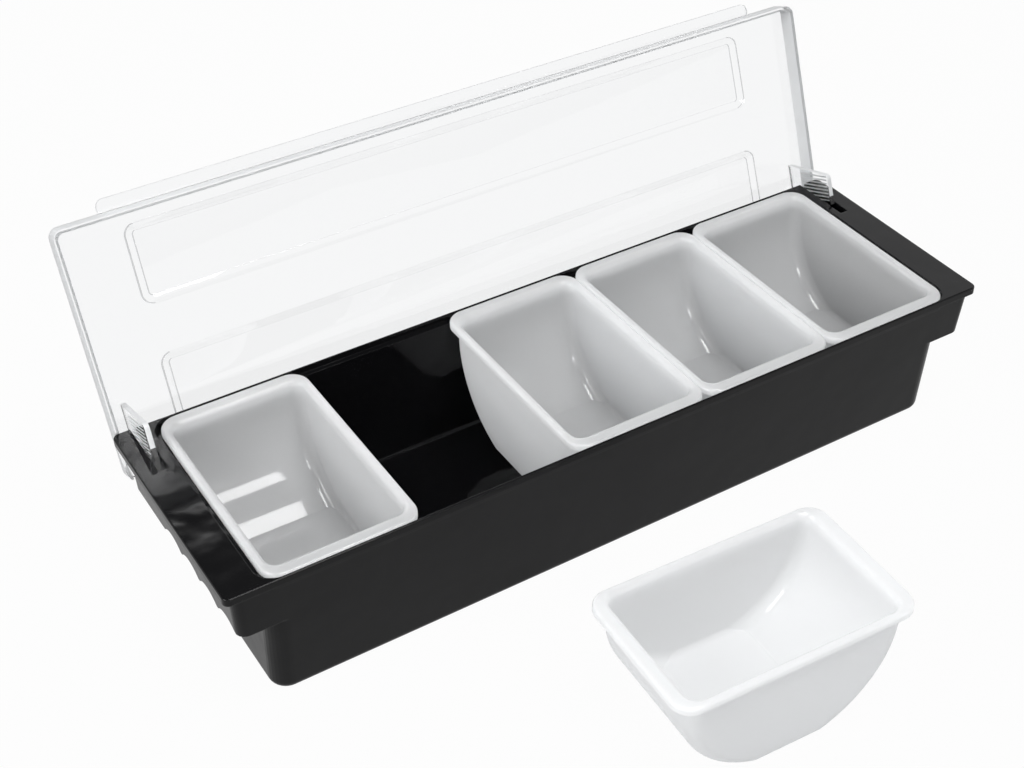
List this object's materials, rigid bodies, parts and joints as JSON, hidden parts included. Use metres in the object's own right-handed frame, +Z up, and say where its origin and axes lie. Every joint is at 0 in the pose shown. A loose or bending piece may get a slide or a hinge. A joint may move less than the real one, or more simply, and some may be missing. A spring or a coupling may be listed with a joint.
{
  "type": "condiment caddy",
  "caption": "Long black bar tray with a row of lift-out pans with round ends under one clear hinged lid, shown open with one pan taken out.",
  "frame": {"origin": "centre of the tray's underside, on the table it stands on", "axes": "+X along the tray to its right end, -Y to the front where the lid opens, +Z up"},
  "size_m": [0.5, 0.3763, 0.2001],
  "materials": {
    "tray_plastic": "glossy moulded black plastic",
    "clear_plastic": "clear polished moulded plastic",
    "pan_plastic": "milky half-gloss moulded plastic"
  },
  "bodies": {
    "tray": {"tray": "tray_plastic"},
    "lid": {"lid": "clear_plastic"},
    "pan_1": {"pan_1": "pan_plastic"},
    "pan_2": {"pan_2": "pan_plastic"},
    "pan_3": {"pan_3": "pan_plastic"},
    "pan_4": {"pan_4": "pan_plastic"},
    "pan_5": {"pan_5": "pan_plastic"}
  },
  "joints": [
    {"name": "lid_hinge", "type": "hinge", "parent": "tray", "child": "lid", "pos_m": [0, 0.0606, 0.0794], "axis": [-1, 0, 0], "range_deg": [-111.5, 0]},
    {"name": "pan_1_lift", "type": "slide", "parent": "tray", "child": "pan_1", "axis": [0, 0, 1], "range_m": [0, 0.1]},
    {"name": "pan_2_lift", "type": "slide", "parent": "tray", "child": "pan_2", "axis": [0, 0, 1], "range_m": [0, 0.1]},
    {"name": "pan_3_lift", "type": "slide", "parent": "tray", "child": "pan_3", "axis": [0, 0, 1], "range_m": [0, 0.1]},
    {"name": "pan_4_lift", "type": "slide", "parent": "tray", "child": "pan_4", "axis": [0, 0, 1], "range_m": [0, 0.1]},
    {"name": "pan_5_lift", "type": "slide", "parent": "tray", "child": "pan_5", "axis": [0, 0, 1], "range_m": [0, 0.1]}
  ]
}
